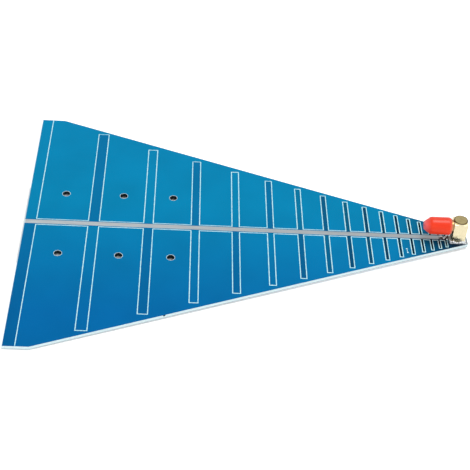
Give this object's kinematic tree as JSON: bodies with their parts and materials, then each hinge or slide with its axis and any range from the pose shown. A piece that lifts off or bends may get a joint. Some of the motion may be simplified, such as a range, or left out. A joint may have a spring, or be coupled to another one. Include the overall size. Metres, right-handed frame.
{
  "type": "log-periodic antenna",
  "caption": "Tapered circuit-board log-periodic antenna with copper arms alternating between its faces, a right-angle coaxial jack at the narrow tip and a push-on dust cap.",
  "frame": {"origin": "under the middle of the board's length and width, level with the tips of the jack's legs, which are the lowest points as it lies", "axes": "+X along the boom from the wide edge to the fed tip; +Y across the board to the left-hand arms; +Z out of the face that carries the jack"},
  "size_m": [0.2, 0.15, 0.014],
  "materials": {
    "laminate": "sawn glass-fibre edge, matt",
    "copper": "etched copper",
    "solder_mask": "blue lacquer, semi-gloss",
    "tin": "levelled solder, satin",
    "legend_ink": "screen-printed white ink",
    "gold_plate": "gold plate on turned brass",
    "insulator": "waxy white fluoropolymer",
    "cap_plastic": "soft moulded polyethylene, satin gloss"
  },
  "bodies": {
    "antenna": {"board_substrate": "laminate", "copper_top": "copper", "copper_bottom": "copper", "solder_mask_top": "solder_mask", "solder_mask_bottom": "solder_mask", "boom_tinning_top": "tin", "boom_tinning_bottom": "tin", "legend_top_left": "legend_ink", "legend_top_right": "legend_ink", "legend_bottom_left": "legend_ink", "legend_bottom_right": "legend_ink", "jack_body": "gold_plate", "jack_cover_disc": "gold_plate", "barrel_insulator": "insulator", "tail_insulator": "insulator", "centre_contact": "gold_plate", "tail_pin": "gold_plate", "leg_solder_1": "tin", "leg_solder_2": "tin", "leg_solder_3": "tin", "leg_solder_4": "tin", "foot_solder_1": "tin", "foot_solder_2": "tin", "foot_solder_3": "tin", "foot_solder_4": "tin", "pin_solder": "tin"},
    "cap": {"dust_cap": "cap_plastic"}
  },
  "joints": [
    {"name": "cap_pull", "type": "slide", "parent": "antenna", "child": "cap", "axis": [-1, 0, 0], "range_m": [0, 0.012]}
  ]
}
